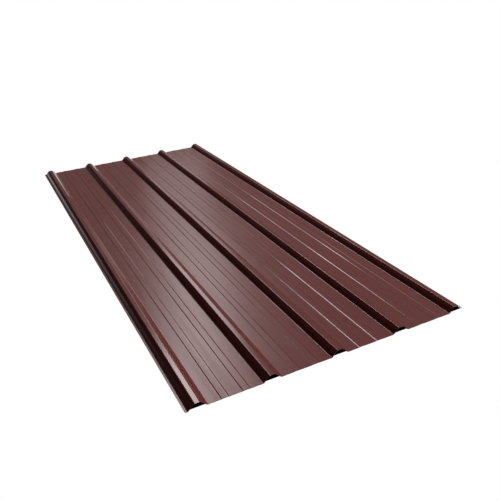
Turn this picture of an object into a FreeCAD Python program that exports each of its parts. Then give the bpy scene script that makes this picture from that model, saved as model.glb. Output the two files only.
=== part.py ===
import FreeCAD, Part
import math
import os

# Ribbed steel roofing sheet: one piece of thin coil, painted and then rolled to this section.
# Five tall ribs cover 36 inches, with two low stiffening ribs in each flat between them.
# Millimetres. +Z is up, X runs across the ribs, Y along them. The origin is on the floor
# that the flats lie on, under the middle of the sheet.

INCH = 25.4

# the sheet
LENGTH = 96 * INCH
THICKNESS = 0.4

# a tall rib, in section: foot to foot, knee to knee and across its crest
RIB_COUNT = 5
RIB_PITCH = 9 * INCH
RIB_HEIGHT = 0.75 * INCH
RIB_BASE = 2.20 * INCH
RIB_CREST = 0.62 * INCH
KNEE_HEIGHT = 0.42 * INCH
KNEE_WIDTH = 1.44 * INCH

# a stiffening rib, in section
STIFFENER_COUNT = 2
STIFFENER_PITCH = 2.57 * INCH
STIFFENER_HEIGHT = 2.0
STIFFENER_BASE = 25.0
STIFFENER_CREST = 19.5

# the long edges: a flat lip outside the first rib goes under the next sheet's last rib,
# whose own outer flank ends a little above the floor
LIP_WIDTH = 0.36 * INCH
LAP_CLEARANCE = 1.0

# radii of the bends, to the middle of the sheet
FOOT_BEND = 7.0
KNEE_BEND = 9.0
CREST_BEND = 5.5
STIFFENER_BEND = 2.0


def rib(x):
    """Corners of a tall rib at x, from left to right, each with its bend radius."""
    left = [
        (-RIB_BASE / 2, 0, FOOT_BEND),
        (-KNEE_WIDTH / 2, KNEE_HEIGHT, KNEE_BEND),
        (-RIB_CREST / 2, RIB_HEIGHT, CREST_BEND),
    ]
    right = [(-dx, z, bend) for dx, z, bend in reversed(left)]
    return [(x + dx, z, bend) for dx, z, bend in left + right]


def stiffener(x):
    """Corners of a low stiffening rib at x, in the same form."""
    return [
        (x - STIFFENER_BASE / 2, 0, STIFFENER_BEND),
        (x - STIFFENER_CREST / 2, STIFFENER_HEIGHT, STIFFENER_BEND),
        (x + STIFFENER_CREST / 2, STIFFENER_HEIGHT, STIFFENER_BEND),
        (x + STIFFENER_BASE / 2, 0, STIFFENER_BEND),
    ]


def section_corners():
    """Corners of the whole section, lip to last flank, with the first rib's middle at x = 0."""
    corners = [(-RIB_BASE / 2 - LIP_WIDTH, 0, 0)]
    for n in range(RIB_COUNT):
        corners += rib(n * RIB_PITCH)
        if n < RIB_COUNT - 1:
            flat_middle = (n + 0.5) * RIB_PITCH
            for k in range(STIFFENER_COUNT):
                corners += stiffener(flat_middle + (k - (STIFFENER_COUNT - 1) / 2) * STIFFENER_PITCH)
    # the last flank is cut off square above the floor, where its foot bend would begin
    foot_x, foot_z, _ = corners.pop()
    knee_x, knee_z, _ = corners[-1]
    cut = (LAP_CLEARANCE - foot_z) / (knee_z - foot_z)
    corners.append((foot_x + cut * (knee_x - foot_x), foot_z + cut * (knee_z - foot_z), 0))
    return corners


def unit(a, b):
    """Direction from a to b, and how far apart they are."""
    dx, dz = b[0] - a[0], b[1] - a[1]
    length = math.hypot(dx, dz)
    return dx / length, dz / length, length


def sheet_face(corners):
    """The sheet's cut end: both of its faces follow the corners at half a thickness."""
    # each bend is an arc tangent to the flat on either side, and uses less than half of either
    most_of_flat = 0.48
    path = [("end", corners[0], unit(corners[0], corners[1]))]
    for before, here, after in zip(corners, corners[1:], corners[2:]):
        ax, az, a_length = unit(before, here)
        bx, bz, b_length = unit(here, after)
        turn = math.atan2(ax * bz - az * bx, ax * bx + az * bz)
        reach = min(here[2] * math.tan(abs(turn) / 2), most_of_flat * min(a_length, b_length))
        radius = reach / math.tan(abs(turn) / 2)
        side = math.copysign(1, turn)
        start = (here[0] - reach * ax, here[1] - reach * az)
        centre = (start[0] - side * radius * az, start[1] + side * radius * ax)
        path.append(("bend", centre, (side * radius, math.atan2(az, ax), turn)))
    path.append(("end", corners[-1], unit(corners[-2], corners[-1])))

    def face_line(offset):
        """Edges of one face, from left to right, this far above the middle of the sheet."""
        edges, last = [], None
        for kind, point, shape in path:
            if kind == "end":
                dx, dz, _ = shape
                here = FreeCAD.Vector(point[0] - offset * dz, 0, point[1] + offset * dx)
                if last is not None:
                    edges.append(Part.makeLine(last, here))
                last = here
                continue
            signed_radius, heading, turn = shape
            arc = [
                FreeCAD.Vector(
                    point[0] + (signed_radius - offset) * math.sin(heading + part * turn),
                    0,
                    point[1] - (signed_radius - offset) * math.cos(heading + part * turn),
                )
                for part in (0, 0.5, 1)
            ]
            edges.append(Part.makeLine(last, arc[0]))
            edges.append(Part.Arc(*arc).toShape())
            last = arc[2]
        return edges

    under, upper = face_line(-THICKNESS / 2), face_line(THICKNESS / 2)
    ends = [
        Part.makeLine(under[0].firstVertex().Point, upper[0].firstVertex().Point),
        Part.makeLine(under[-1].lastVertex().Point, upper[-1].lastVertex().Point),
    ]
    outline = Part.Wire(Part.__sortEdges__(under + upper + ends))
    return Part.Face(outline)


def roofing_sheet():
    sheet = sheet_face(section_corners()).extrude(FreeCAD.Vector(0, LENGTH, 0))
    box = sheet.BoundBox
    sheet.translate(FreeCAD.Vector(-(box.XMin + box.XMax) / 2, -LENGTH / 2, THICKNESS / 2))
    return sheet


os.makedirs("parts", exist_ok=True)
roofing_sheet().exportStep("parts/roofing_sheet.step")
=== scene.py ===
import math

import bpy
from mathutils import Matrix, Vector

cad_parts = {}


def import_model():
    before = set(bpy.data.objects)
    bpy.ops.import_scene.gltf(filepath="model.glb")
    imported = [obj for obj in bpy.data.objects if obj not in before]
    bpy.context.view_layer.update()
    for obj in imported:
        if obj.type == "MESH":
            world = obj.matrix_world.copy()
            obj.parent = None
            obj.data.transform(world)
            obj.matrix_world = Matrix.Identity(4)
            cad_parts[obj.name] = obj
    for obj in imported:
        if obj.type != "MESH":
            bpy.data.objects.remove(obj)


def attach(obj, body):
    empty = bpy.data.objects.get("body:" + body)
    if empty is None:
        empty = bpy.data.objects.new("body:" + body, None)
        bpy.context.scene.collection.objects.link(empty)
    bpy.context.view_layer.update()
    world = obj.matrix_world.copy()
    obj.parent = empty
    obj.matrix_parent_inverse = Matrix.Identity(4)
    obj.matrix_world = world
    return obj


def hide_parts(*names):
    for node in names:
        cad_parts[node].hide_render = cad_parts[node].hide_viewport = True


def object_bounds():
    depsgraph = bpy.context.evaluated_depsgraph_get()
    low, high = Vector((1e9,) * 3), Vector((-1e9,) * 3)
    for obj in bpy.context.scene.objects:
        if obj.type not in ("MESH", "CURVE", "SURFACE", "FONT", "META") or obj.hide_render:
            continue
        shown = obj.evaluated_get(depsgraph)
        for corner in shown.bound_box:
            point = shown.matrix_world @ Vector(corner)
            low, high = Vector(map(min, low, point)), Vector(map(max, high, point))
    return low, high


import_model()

cad_low, cad_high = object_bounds()

INCH = 0.0254

# the rolled section, in metres: x across the ribs, z above the floor
RIB_COUNT = 5
LENGTH = cad_high[1] - cad_low[1]
THICKNESS = 0.0004
RIB_PITCH = 9 * INCH
RIB_HEIGHT = 0.75 * INCH
RIB_BASE = 2.20 * INCH
RIB_CREST = 0.62 * INCH
KNEE_HEIGHT = 0.42 * INCH
KNEE_WIDTH = 1.44 * INCH
LOW_RIB_PITCH = 2.57 * INCH
LOW_RIB_HEIGHT = 0.0009
LOW_RIB_BASE = 0.0250
LOW_RIB_CREST = 0.0195
LIP_WIDTH = 0.36 * INCH
LAP_CLEARANCE = 0.0010
FOOT_BEND = 0.0070
KNEE_BEND = 0.0090
CREST_BEND = 0.0055
LOW_RIB_BEND = 0.0020

FIRST_RIB_X = cad_low[0] + RIB_BASE / 2 + LIP_WIDTH

# how the thin flats have bellied between their ribs since rolling
WAVE_HEIGHT = 0.0004
WAVE_LENGTH = 0.34
WAVE_WIDTH = 0.09
WAVE_FADE = 0.020
WAVE_SEED = 7

# how finely the sheet is divided
BEND_STEPS = 5
ACROSS_STEP = 0.012
STATIONS = 61

# points of the section, and of the finished sheet, that are nearer than this are one
SECTION_WELD = 1e-5
SHEET_WELD = 1e-6

# the turn, in radians, past which an edge is a cut edge and stays sharp
CUT_EDGE_TURN = 1.0


# node trees

def add_node(tree, kind, inputs=None, **settings):
    """A node with its settings made and its inputs linked or set, by name or by number."""
    node = tree.nodes.new(kind)
    for name, value in settings.items():
        setattr(node, name, value)
    for key, value in (inputs or {}).items():
        feed(tree, node.inputs[key], value)
    return node


def feed(tree, socket, value):
    """Link the socket to a number or a socket, or set it to a plain value."""
    if isinstance(value, Number):
        value = value.socket
    if isinstance(value, bpy.types.NodeSocket):
        tree.links.new(value, socket)
    else:
        socket.default_value = value


class Number:
    """A number in a node tree, whose sums, products and limits are Math nodes."""

    def __init__(self, tree, socket):
        self.tree, self.socket = tree, socket

    def math(self, operation, *others):
        node = add_node(self.tree, "ShaderNodeMath", operation=operation)
        for socket, value in zip(node.inputs, (self, *others)):
            feed(self.tree, socket, value)
        return Number(self.tree, node.outputs[0])

    def __add__(self, other):
        return self.math("ADD", other)

    def __sub__(self, other):
        return self.math("SUBTRACT", other)

    def __mul__(self, other):
        return self.math("MULTIPLY", other)

    def __truediv__(self, other):
        return self.math("DIVIDE", other)

    def __neg__(self):
        return self.math("MULTIPLY", -1)


def vector(tree, x, y, z):
    return add_node(tree, "ShaderNodeCombineXYZ", {0: x, 1: y, 2: z}).outputs[0]


def split(tree, source):
    node = add_node(tree, "ShaderNodeSeparateXYZ", {0: source})
    return [Number(tree, socket) for socket in node.outputs]


def between(tree, value, low, high, start=0.3, end=0.7):
    """`low` where the value is at `start` or under it, `high` from `end` up, even between them."""
    ramp = add_node(
        tree, "ShaderNodeMapRange",
        {"Value": value, "From Min": start, "From Max": end, "To Min": low, "To Max": high},
    )
    return Number(tree, ramp.outputs[0])


# the sheet

def sheet_inputs(tree):
    """The tree's named sizes, as numbers for the other nodes, and the values they are given."""
    sizes = {
        "Length": LENGTH,
        "Thickness": THICKNESS,
        "Rib Pitch": RIB_PITCH,
        "Rib Height": RIB_HEIGHT,
        "Rib Base": RIB_BASE,
        "Rib Crest": RIB_CREST,
        "Knee Height": KNEE_HEIGHT,
        "Knee Width": KNEE_WIDTH,
        "Low Rib Pitch": LOW_RIB_PITCH,
        "Low Rib Height": LOW_RIB_HEIGHT,
        "Low Rib Base": LOW_RIB_BASE,
        "Low Rib Crest": LOW_RIB_CREST,
        "Lip Width": LIP_WIDTH,
        "Lap Clearance": LAP_CLEARANCE,
        "Foot Bend": FOOT_BEND,
        "Knee Bend": KNEE_BEND,
        "Crest Bend": CREST_BEND,
        "Low Rib Bend": LOW_RIB_BEND,
        "First Rib X": FIRST_RIB_X,
        "Wave Height": WAVE_HEIGHT,
        "Wave Length": WAVE_LENGTH,
        "Wave Width": WAVE_WIDTH,
        "Wave Fade": WAVE_FADE,
        "Across Step": ACROSS_STEP,
    }
    counts = {
        "Rib Count": RIB_COUNT,
        "Bend Steps": BEND_STEPS,
        "Stations": STATIONS,
        "Wave Seed": WAVE_SEED,
    }
    for kind, group in (("NodeSocketFloat", sizes), ("NodeSocketInt", counts)):
        for name, value in group.items():
            socket = tree.interface.new_socket(name, in_out="INPUT", socket_type=kind)
            socket.default_value = value
    values = {**sizes, **counts}
    group_in = tree.nodes.new("NodeGroupInput")
    return {name: Number(tree, group_in.outputs[name]) for name in values}, values


def one_rib(tree, size):
    """The corners of one tall rib and the half flats beside it, each with its bend's radius."""
    low_rib = size["Rib Pitch"] / 2 - size["Low Rib Pitch"] / 2
    half_base, half_crest = size["Low Rib Base"] / 2, size["Low Rib Crest"] / 2
    right_side = [
        (size["Rib Crest"] / 2, size["Rib Height"], size["Crest Bend"]),
        (size["Knee Width"] / 2, size["Knee Height"], size["Knee Bend"]),
        (size["Rib Base"] / 2, 0.0, size["Foot Bend"]),
        (low_rib - half_base, 0.0, size["Low Rib Bend"]),
        (low_rib - half_crest, size["Low Rib Height"], size["Low Rib Bend"]),
        (low_rib + half_crest, size["Low Rib Height"], size["Low Rib Bend"]),
        (low_rib + half_base, 0.0, size["Low Rib Bend"]),
        (size["Rib Pitch"] / 2, 0.0, 0.0),
    ]
    count = len(right_side)
    line = add_node(tree, "GeometryNodeMeshLine", {"Count": 2 * count}).outputs[0]
    # the corners run from the left end inwards, then out again on the right
    index = Number(tree, add_node(tree, "GeometryNodeInputIndex").outputs[0])
    from_middle = index - (count - 0.5)
    corner = from_middle.math("ABSOLUTE").math("FLOOR")

    def chosen(values):
        switch = add_node(tree, "GeometryNodeIndexSwitch", data_type="FLOAT")
        while len(switch.index_switch_items) < count:
            switch.index_switch_items.new()
        feed(tree, switch.inputs[0], corner)
        for n, value in enumerate(values):
            feed(tree, switch.inputs[n + 1], value)
        return Number(tree, switch.outputs[0])

    x, z, bend = (chosen(values) for values in zip(*right_side))
    place = vector(tree, x * from_middle.math("SIGN"), 0.0, z)
    line = add_node(
        tree, "GeometryNodeSetPosition", {"Geometry": line, "Position": place}
    ).outputs[0]
    return add_node(
        tree, "GeometryNodeStoreNamedAttribute", {"Geometry": line, "Name": "bend", "Value": bend}
    ).outputs[0]


def whole_section(tree, size):
    """The ribs side by side as one curve from the lip to the last flank, its bends rounded."""
    ribs_at = add_node(
        tree, "GeometryNodeMeshLine",
        {"Count": size["Rib Count"], "Offset": vector(tree, size["Rib Pitch"], 0.0, 0.0)},
    ).outputs[0]
    ribs = add_node(
        tree, "GeometryNodeInstanceOnPoints", {"Points": ribs_at, "Instance": one_rib(tree, size)}
    ).outputs[0]
    line = add_node(tree, "GeometryNodeRealizeInstances", {"Geometry": ribs}).outputs[0]

    # corners outside the lip and past the last flank's end are drawn in to those two ends
    x, _, z = split(tree, add_node(tree, "GeometryNodeInputPosition").outputs[0])
    lip_x = -(size["Rib Base"] / 2 + size["Lip Width"])
    flank_run = (size["Rib Base"] - size["Knee Width"]) / 2
    last_foot = (size["Rib Count"] - 1) * size["Rib Pitch"] + size["Rib Base"] / 2
    cut_x = last_foot - flank_run * size["Lap Clearance"] / size["Knee Height"]
    beyond = x.math("GREATER_THAN", cut_x)
    inside = x.math("GREATER_THAN", lip_x) - beyond
    ends = vector(
        tree,
        x.math("MAXIMUM", lip_x).math("MINIMUM", cut_x),
        0.0,
        z * inside + size["Lap Clearance"] * beyond,
    )
    line = add_node(
        tree, "GeometryNodeSetPosition", {"Geometry": line, "Position": ends}
    ).outputs[0]
    bend = add_node(tree, "GeometryNodeInputNamedAttribute", {"Name": "bend"}).outputs[0]
    rounded = add_node(
        tree, "GeometryNodeFilletCurve",
        {"Curve": joined_curve(tree, line), "Count": size["Bend Steps"], "Radius": bend},
        mode="POLY",
    ).outputs[0]
    line = add_node(tree, "GeometryNodeCurveToMesh", {"Curve": rounded}).outputs[0]
    return evenly_divided(tree, joined_curve(tree, line), size["Across Step"])


def joined_curve(tree, line):
    merged = add_node(
        tree, "GeometryNodeMergeByDistance", {"Geometry": line, "Distance": SECTION_WELD}
    ).outputs[0]
    return add_node(tree, "GeometryNodeMeshToCurve", {"Mesh": merged}).outputs[0]


def evenly_divided(tree, curve, step):
    """The curve with points added on its long straight parts."""
    here = add_node(tree, "GeometryNodeInputPosition").outputs[0]
    after = add_node(tree, "GeometryNodeOffsetPointInCurve", {"Offset": 1}).outputs["Point Index"]
    there = add_node(
        tree, "GeometryNodeFieldAtIndex", {"Index": after, "Value": here}, data_type="FLOAT_VECTOR"
    ).outputs[0]
    run = add_node(tree, "ShaderNodeVectorMath", {0: here, 1: there}, operation="DISTANCE")
    cuts = (Number(tree, run.outputs["Value"]) / step).math("FLOOR")
    return add_node(
        tree, "GeometryNodeSubdivideCurve", {"Curve": curve, "Cuts": cuts}
    ).outputs[0]


def bellied(tree, size, x, y):
    """How far the flats have risen at x, y: soft waves along the sheet, none on the tall ribs."""
    where = vector(tree, x / size["Wave Width"], y / size["Wave Length"], size["Wave Seed"])
    noise = add_node(
        tree, "ShaderNodeTexNoise", {"Vector": where, "Scale": 1.0, "Detail": 1.0}
    ).outputs[0]
    from_rib = x.math("PINGPONG", size["Rib Pitch"] / 2)
    foot = size["Rib Base"] / 2
    on_flat = add_node(
        tree, "ShaderNodeMapRange",
        {"Value": from_rib, "From Min": foot, "From Max": foot + size["Wave Fade"]},
        interpolation_type="SMOOTHSTEP",
    ).outputs[0]
    return Number(tree, noise) * size["Wave Height"] * Number(tree, on_flat)


def sheet_tree(face, back, edge):
    """The tree that rolls the sheet, and the values of its inputs."""
    tree = bpy.data.node_groups.new("rolled_sheet", "GeometryNodeTree")
    size, values = sheet_inputs(tree)
    tree.interface.new_socket("Sheet", in_out="OUTPUT", socket_type="NodeSocketGeometry")
    section = whole_section(tree, size)

    # a grid with a column for each point of the section and a row for each station along the sheet
    columns = add_node(
        tree, "GeometryNodeAttributeDomainSize", {"Geometry": section}, component="CURVE"
    ).outputs["Point Count"]
    grid = add_node(
        tree, "GeometryNodeMeshGrid",
        {"Size Y": size["Length"], "Vertices X": columns, "Vertices Y": size["Stations"]},
    ).outputs[0]
    index = Number(tree, add_node(tree, "GeometryNodeInputIndex").outputs[0])
    column = ((index + 0.5) / size["Stations"]).math("FLOOR")

    def from_section(kind):
        field = add_node(tree, kind).outputs[0]
        sampled = add_node(
            tree, "GeometryNodeSampleIndex",
            {"Geometry": section, "Value": field, "Index": column}, data_type="FLOAT_VECTOR",
        )
        return split(tree, sampled.outputs[0])

    x, _, z = from_section("GeometryNodeInputPosition")
    along_x, _, along_z = from_section("GeometryNodeInputTangent")
    _, y, _ = split(tree, add_node(tree, "GeometryNodeInputPosition").outputs[0])
    half = size["Thickness"] / 2
    under_place = vector(
        tree,
        x + along_z * half + size["First Rib X"],
        y,
        z - along_x * half + half + bellied(tree, size, x, y),
    )
    upwards = vector(tree, -along_z, 0.0, along_x)
    under = add_node(
        tree, "GeometryNodeSetPosition", {"Geometry": grid, "Position": under_place}
    ).outputs[0]
    under = add_node(
        tree, "GeometryNodeStoreNamedAttribute",
        {"Geometry": under, "Name": "upwards", "Value": upwards}, data_type="FLOAT_VECTOR",
    ).outputs[0]

    # the underside is the grid turned over, the face and the cut edges are the grid drawn up
    lift = add_node(
        tree, "GeometryNodeInputNamedAttribute", {"Name": "upwards"}, data_type="FLOAT_VECTOR"
    ).outputs[0]
    solid = add_node(
        tree, "GeometryNodeExtrudeMesh",
        {"Mesh": under, "Offset": lift, "Offset Scale": size["Thickness"], "Individual": False},
    )
    back_face = add_node(tree, "GeometryNodeFlipFaces", {"Mesh": under}).outputs[0]
    back_face = add_node(
        tree, "GeometryNodeSetMaterial", {"Geometry": back_face, "Material": back}
    ).outputs[0]
    shell = solid.outputs["Mesh"]
    for part, material in (("Top", face), ("Side", edge)):
        shell = add_node(
            tree, "GeometryNodeSetMaterial",
            {"Geometry": shell, "Selection": solid.outputs[part], "Material": material},
        ).outputs[0]
    join = tree.nodes.new("GeometryNodeJoinGeometry")
    tree.links.new(back_face, join.inputs[0])
    tree.links.new(shell, join.inputs[0])
    closed = add_node(
        tree, "GeometryNodeMergeByDistance", {"Geometry": join.outputs[0], "Distance": SHEET_WELD}
    ).outputs[0]

    smooth = add_node(tree, "GeometryNodeSetShadeSmooth", {"Geometry": closed}).outputs[0]
    angle = add_node(tree, "GeometryNodeInputMeshEdgeAngle").outputs["Unsigned Angle"]
    cut = Number(tree, angle).math("GREATER_THAN", CUT_EDGE_TURN)
    smooth = add_node(
        tree, "GeometryNodeSetShadeSmooth",
        {"Geometry": smooth, "Selection": cut, "Shade Smooth": False}, domain="EDGE",
    ).outputs[0]
    real = add_node(tree, "GeometryNodeRealizeInstances", {"Geometry": smooth}).outputs[0]
    group_out = tree.nodes.new("NodeGroupOutput")
    tree.links.new(real, group_out.inputs["Sheet"])
    return tree, values


def rolled_sheet(face, back, edge):
    """The whole sheet as one closed mesh."""
    maker = bpy.data.objects.new("sheet_maker", bpy.data.meshes.new("sheet_maker"))
    bpy.context.collection.objects.link(maker)
    tree, values = sheet_tree(face, back, edge)
    rolling = maker.modifiers.new("rolling", "NODES")
    rolling.node_group = tree
    for item in tree.interface.items_tree:
        if item.item_type == "SOCKET" and item.name in values:
            rolling[item.identifier] = values[item.name]
    normals = maker.modifiers.new("flat shading of the flats", "WEIGHTED_NORMAL")
    normals.keep_sharp = True
    evaluated = maker.evaluated_get(bpy.context.evaluated_depsgraph_get())
    mesh = bpy.data.meshes.new_from_object(evaluated)
    mesh.name = "painted_sheet"
    for name in ("bend", "upwards"):
        if name in mesh.attributes:
            mesh.attributes.remove(mesh.attributes[name])
    piece = bpy.data.objects.new("painted_sheet", mesh)
    bpy.context.collection.objects.link(piece)
    bpy.data.objects.remove(maker)
    return piece


# finishes

# each finish mixes two tones by a noise, whose scale is to the metre
FACE_TONES = ((0.080, 0.0126, 0.0098), (0.090, 0.0144, 0.0112))
FACE_CLOUDS = 3.0
# the underside's own back coat, darkened near black as painted shade for the hollows under the
# ribs
BACK_TONES_AS_SHADE = ((0.010, 0.006, 0.006), (0.016, 0.010, 0.010))
BACK_CLOUDS = 12.0
# the cut edges are bare steel, darkened as painted shade along the sheet's outline
EDGE_TONES_STEEL_AND_SHADE = ((0.03, 0.025, 0.024), (0.10, 0.09, 0.085))
EDGE_GRAIN = 900.0

# the tint of what the face mirrors
FACE_GLOSS = (1.0, 0.84, 0.86, 1)

# the face's roughness lies between these two, in streaks drawn out along the sheet
FACE_ROUGHNESS = (0.27, 0.34)
STREAKS = 60.0
STREAK_STRETCH = (1, 0.02, 1)

# the share of its roughness that the paint lost where the rolls bent it,
# and how much of that share it lost over the ribs
PRESSED = 0.65
PRESSED_ON_RIBS = 0.6
# bent where the upward part of the surface's direction is under the first, flat over the second
BENT = (0.96, 0.995)
# over the ribs begins at the first of these shares of their height and is full at the second
RIB_TOP = (0.6, 0.8)

# the fine dimples of the baked paint
DIMPLES = 700.0
DIMPLE_STRENGTH = 0.05
DIMPLE_DEPTH = 0.00004


def finish_material(name):
    material = bpy.data.materials.new(name)
    material.use_nodes = True
    tree = material.node_tree
    return material, tree, tree.nodes["Principled BSDF"]


def noise_at(tree, scale, stretch=(1, 1, 1), detail=2.0):
    """Noise on the object's own coordinates, drawn out along the axes where stretch is small."""
    where = add_node(tree, "ShaderNodeTexCoord").outputs["Object"]
    mapped = add_node(tree, "ShaderNodeMapping", {"Vector": where, "Scale": stretch}).outputs[0]
    return add_node(
        tree, "ShaderNodeTexNoise", {"Vector": mapped, "Scale": scale, "Detail": detail}
    ).outputs["Fac"]


def two_tone(tree, factor, tones):
    mix = add_node(tree, "ShaderNodeMix", {"Factor": factor}, data_type="RGBA")
    mix.inputs[6].default_value = (*tones[0], 1)
    mix.inputs[7].default_value = (*tones[1], 1)
    return mix.outputs[2]


def face_paint():
    material, tree, shader = finish_material("face_paint")
    cloud = noise_at(tree, FACE_CLOUDS, detail=3.0)
    feed(tree, shader.inputs["Base Color"], two_tone(tree, cloud, FACE_TONES))
    shader.inputs["Specular Tint"].default_value = FACE_GLOSS

    where = add_node(tree, "ShaderNodeTexCoord")
    _, _, level = split(tree, where.outputs["Normal"])
    _, _, height = split(tree, where.outputs["Object"])
    bent = between(tree, level, 1.0, 0.0, *BENT)
    over_rib = between(
        tree, height, 0.0, PRESSED_ON_RIBS, *(share * RIB_HEIGHT for share in RIB_TOP)
    )
    streaks = noise_at(tree, STREAKS, stretch=STREAK_STRETCH)
    kept = -(bent.math("MAXIMUM", over_rib) * PRESSED) + 1.0
    feed(tree, shader.inputs["Roughness"], between(tree, streaks, *FACE_ROUGHNESS) * kept)

    dimples = noise_at(tree, DIMPLES)
    bump = add_node(
        tree, "ShaderNodeBump",
        {"Height": dimples, "Strength": DIMPLE_STRENGTH, "Distance": DIMPLE_DEPTH},
    )
    feed(tree, shader.inputs["Normal"], bump.outputs[0])
    return material


# the back coat's tones are near black: painted shade inside the rib hollows laid over the coat's
# own colour
def back_paint_darkened_as_shade():
    material, tree, shader = finish_material("back_paint_darkened_as_shade")
    cloud = noise_at(tree, BACK_CLOUDS)
    feed(tree, shader.inputs["Base Color"], two_tone(tree, cloud, BACK_TONES_AS_SHADE))
    shader.inputs["Roughness"].default_value = 0.45
    return material


# bare steel grain whose dark tones are partly painted shade along the cut outline
def cut_edge():
    material, tree, shader = finish_material("cut_edge")
    grain = noise_at(tree, EDGE_GRAIN)
    feed(tree, shader.inputs["Base Color"], two_tone(tree, grain, EDGE_TONES_STEEL_AND_SHADE))
    shader.inputs["Roughness"].default_value = 0.5
    shader.inputs["Metallic"].default_value = 0.6
    return material


sheet = rolled_sheet(face_paint(), back_paint_darkened_as_shade(), cut_edge())
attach(sheet, "root")
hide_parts("roofing_sheet")


# studio

WHITE = (1, 1, 1, 1)

FLOOR_HALF = 40.0
FLOOR_Z = -0.0005
# the grey that the floor throws back at the sheet
FLOOR_GREY = (0.25, 0.25, 0.25, 1)
# how far light reaches in under the ribs from the sheet's ends
LIGHT_REACH = 0.007
# how near the sheet has to be to shade the floor
SHADE_REACH = 0.03
# the floor is black where this share of the space over it is open or less, white from the second
SHADE = (0.12, 0.25)

# parts of the world's sphere, by direction: x to the right, y ahead, z up
RIGHT_WALL_FROM_X = (-0.35, 0.10)
RIGHT_WALL_FROM_Z = (0.20, 0.60)
# the share of its brightness that the right wall has lower down
RIGHT_WALL_LOW = 0.12
HORIZON_TO_Z = (0.03, 0.12)
BEHIND_TO_Y = (-0.10, 0.35)
# their brightness, and the fill that lights the sheet
RIGHT_WALL_GLOW = 0.45
DIM_GLOW = 0.02
FILL_GLOW = 0.03

# name, place, aim, width, height and glow of each light
SOFT_BOXES = [
    ("key", (5.6, -1.0, 4.75), (0, 0, 0), 3.6, 3.6, 19.0),
    ("strip, head", (0.54, 2.2, 3.30), (0, -0.7, 0), 0.70, 1.8, 8.2),
    ("strip, middle", (0.70, 2.2, 1.80), (0, -0.5, 0), 0.6, 1.0, 3.2),
    ("strip, foot", (0.62, 2.2, 0.80), (0, 0, 0), 0.5, 0.8, 0.85),
]

# the camera, fitted to the ribs' ends: its place is from the first rib's near end on the floor
CAMERA_FROM_RIB = (-0.35351, -1.25692, 1.07980)
CAMERA_ANGLES = (64.1851, 3.0608, -27.9305)
CAMERA_LENS = 43.28
CAMERA_SENSOR = 36
CAMERA_SHIFT_X = -0.0575


def light_path_mix(tree, shown, lit):
    """`shown` to camera, glossy and see-through rays, `lit` to the rays that carry light."""
    path = add_node(tree, "ShaderNodeLightPath")
    seen = Number(tree, path.outputs["Is Camera Ray"])
    seen = seen.math("MAXIMUM", path.outputs["Is Glossy Ray"])
    seen = seen.math("MAXIMUM", path.outputs["Is Transmission Ray"])
    return add_node(tree, "ShaderNodeMixShader", {0: seen, 1: lit, 2: shown}).outputs[0]


def floor():
    """A white floor with the sheet's contact shadow beside it and no light under it."""
    near, far = -FLOOR_HALF, FLOOR_HALF
    mesh = bpy.data.meshes.new("floor")
    corners = [(near, near, 0), (far, near, 0), (far, far, 0), (near, far, 0)]
    mesh.from_pydata(corners, [], [(0, 1, 2, 3)])
    piece = bpy.data.objects.new("floor", mesh)
    piece.location.z = FLOOR_Z
    bpy.context.collection.objects.link(piece)
    material = bpy.data.materials.new("floor")
    material.use_nodes = True
    tree = material.node_tree
    tree.nodes.clear()
    x, y, _ = split(tree, add_node(tree, "ShaderNodeTexCoord").outputs["Object"])
    beside = x.math("ABSOLUTE").math("GREATER_THAN", cad_high[0])
    lit_end = y.math("ABSOLUTE").math("GREATER_THAN", cad_high[1] - LIGHT_REACH)
    open_sky = add_node(
        tree, "ShaderNodeAmbientOcclusion", {"Distance": SHADE_REACH}, samples=16
    ).outputs["AO"]
    in_light = between(tree, open_sky, 0.0, 1.0, *SHADE) * beside.math("MAXIMUM", lit_end)
    white = add_node(tree, "ShaderNodeEmission", {"Strength": in_light}).outputs[0]
    grey = add_node(tree, "ShaderNodeBsdfDiffuse", {"Color": FLOOR_GREY}).outputs[0]
    out = tree.nodes.new("ShaderNodeOutputMaterial")
    tree.links.new(light_path_mix(tree, white, grey), out.inputs[0])
    mesh.materials.append(material)


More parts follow.
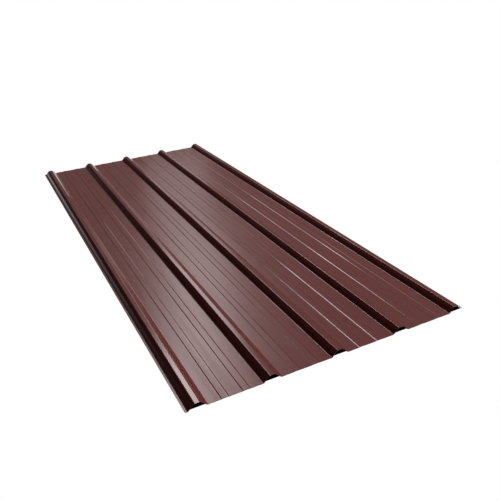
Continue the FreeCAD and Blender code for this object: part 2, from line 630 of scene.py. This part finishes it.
def world():
    """White to the camera. What the paint mirrors is white behind the camera and at the horizon,
    dim ahead of it and grey on its right. The fill that lights the sheet is faint and even."""
    studio = bpy.data.worlds.new("studio")
    bpy.context.scene.world = studio
    studio.use_nodes = True
    tree = studio.node_tree
    tree.nodes.clear()
    x, y, z = split(tree, add_node(tree, "ShaderNodeTexCoord").outputs["Generated"])
    to_right = between(tree, x, 0.0, 1.0, *RIGHT_WALL_FROM_X)
    upwards = between(tree, z, RIGHT_WALL_LOW, 1.0, *RIGHT_WALL_FROM_Z)
    horizon = between(tree, z, 1.0, 0.0, *HORIZON_TO_Z)
    behind = between(tree, y, 1.0, 0.0, *BEHIND_TO_Y)
    backdrop = to_right * upwards * RIGHT_WALL_GLOW + DIM_GLOW
    backdrop = backdrop.math("MAXIMUM", horizon).math("MAXIMUM", behind)
    path = add_node(tree, "ShaderNodeLightPath")
    backdrop = backdrop.math("MAXIMUM", path.outputs["Is Camera Ray"])
    shown, fill = (
        add_node(tree, "ShaderNodeBackground", {"Color": WHITE, "Strength": glow}).outputs[0]
        for glow in (backdrop, FILL_GLOW)
    )
    out = tree.nodes.new("ShaderNodeOutputWorld")
    tree.links.new(light_path_mix(tree, shown, fill), out.inputs[0])


def soft_box(name, place, aim, width, height, glow):
    """An area light at `place` aimed at `aim`, with glow * pi watts to the square metre."""
    lamp = bpy.data.lights.new(name, "AREA")
    lamp.shape = "RECTANGLE"
    lamp.size, lamp.size_y = width, height
    lamp.energy = glow * math.pi * width * height
    box = bpy.data.objects.new(name, lamp)
    box.location = place
    box.rotation_euler = (Vector(place) - Vector(aim)).to_track_quat("Z", "Y").to_euler()
    box.visible_camera = False
    bpy.context.collection.objects.link(box)


def camera():
    lens = bpy.data.cameras.new("camera")
    lens.lens = CAMERA_LENS
    lens.sensor_width = CAMERA_SENSOR
    lens.shift_x = CAMERA_SHIFT_X
    viewer = bpy.data.objects.new("camera", lens)
    viewer.location = Vector((FIRST_RIB_X, cad_low[1], 0)) + Vector(CAMERA_FROM_RIB)
    viewer.rotation_euler = [math.radians(angle) for angle in CAMERA_ANGLES]
    bpy.context.collection.objects.link(viewer)
    bpy.context.scene.camera = viewer


floor()
world()
camera()
for box in SOFT_BOXES:
    soft_box(*box)
bpy.context.scene.view_settings.view_transform = "Standard"
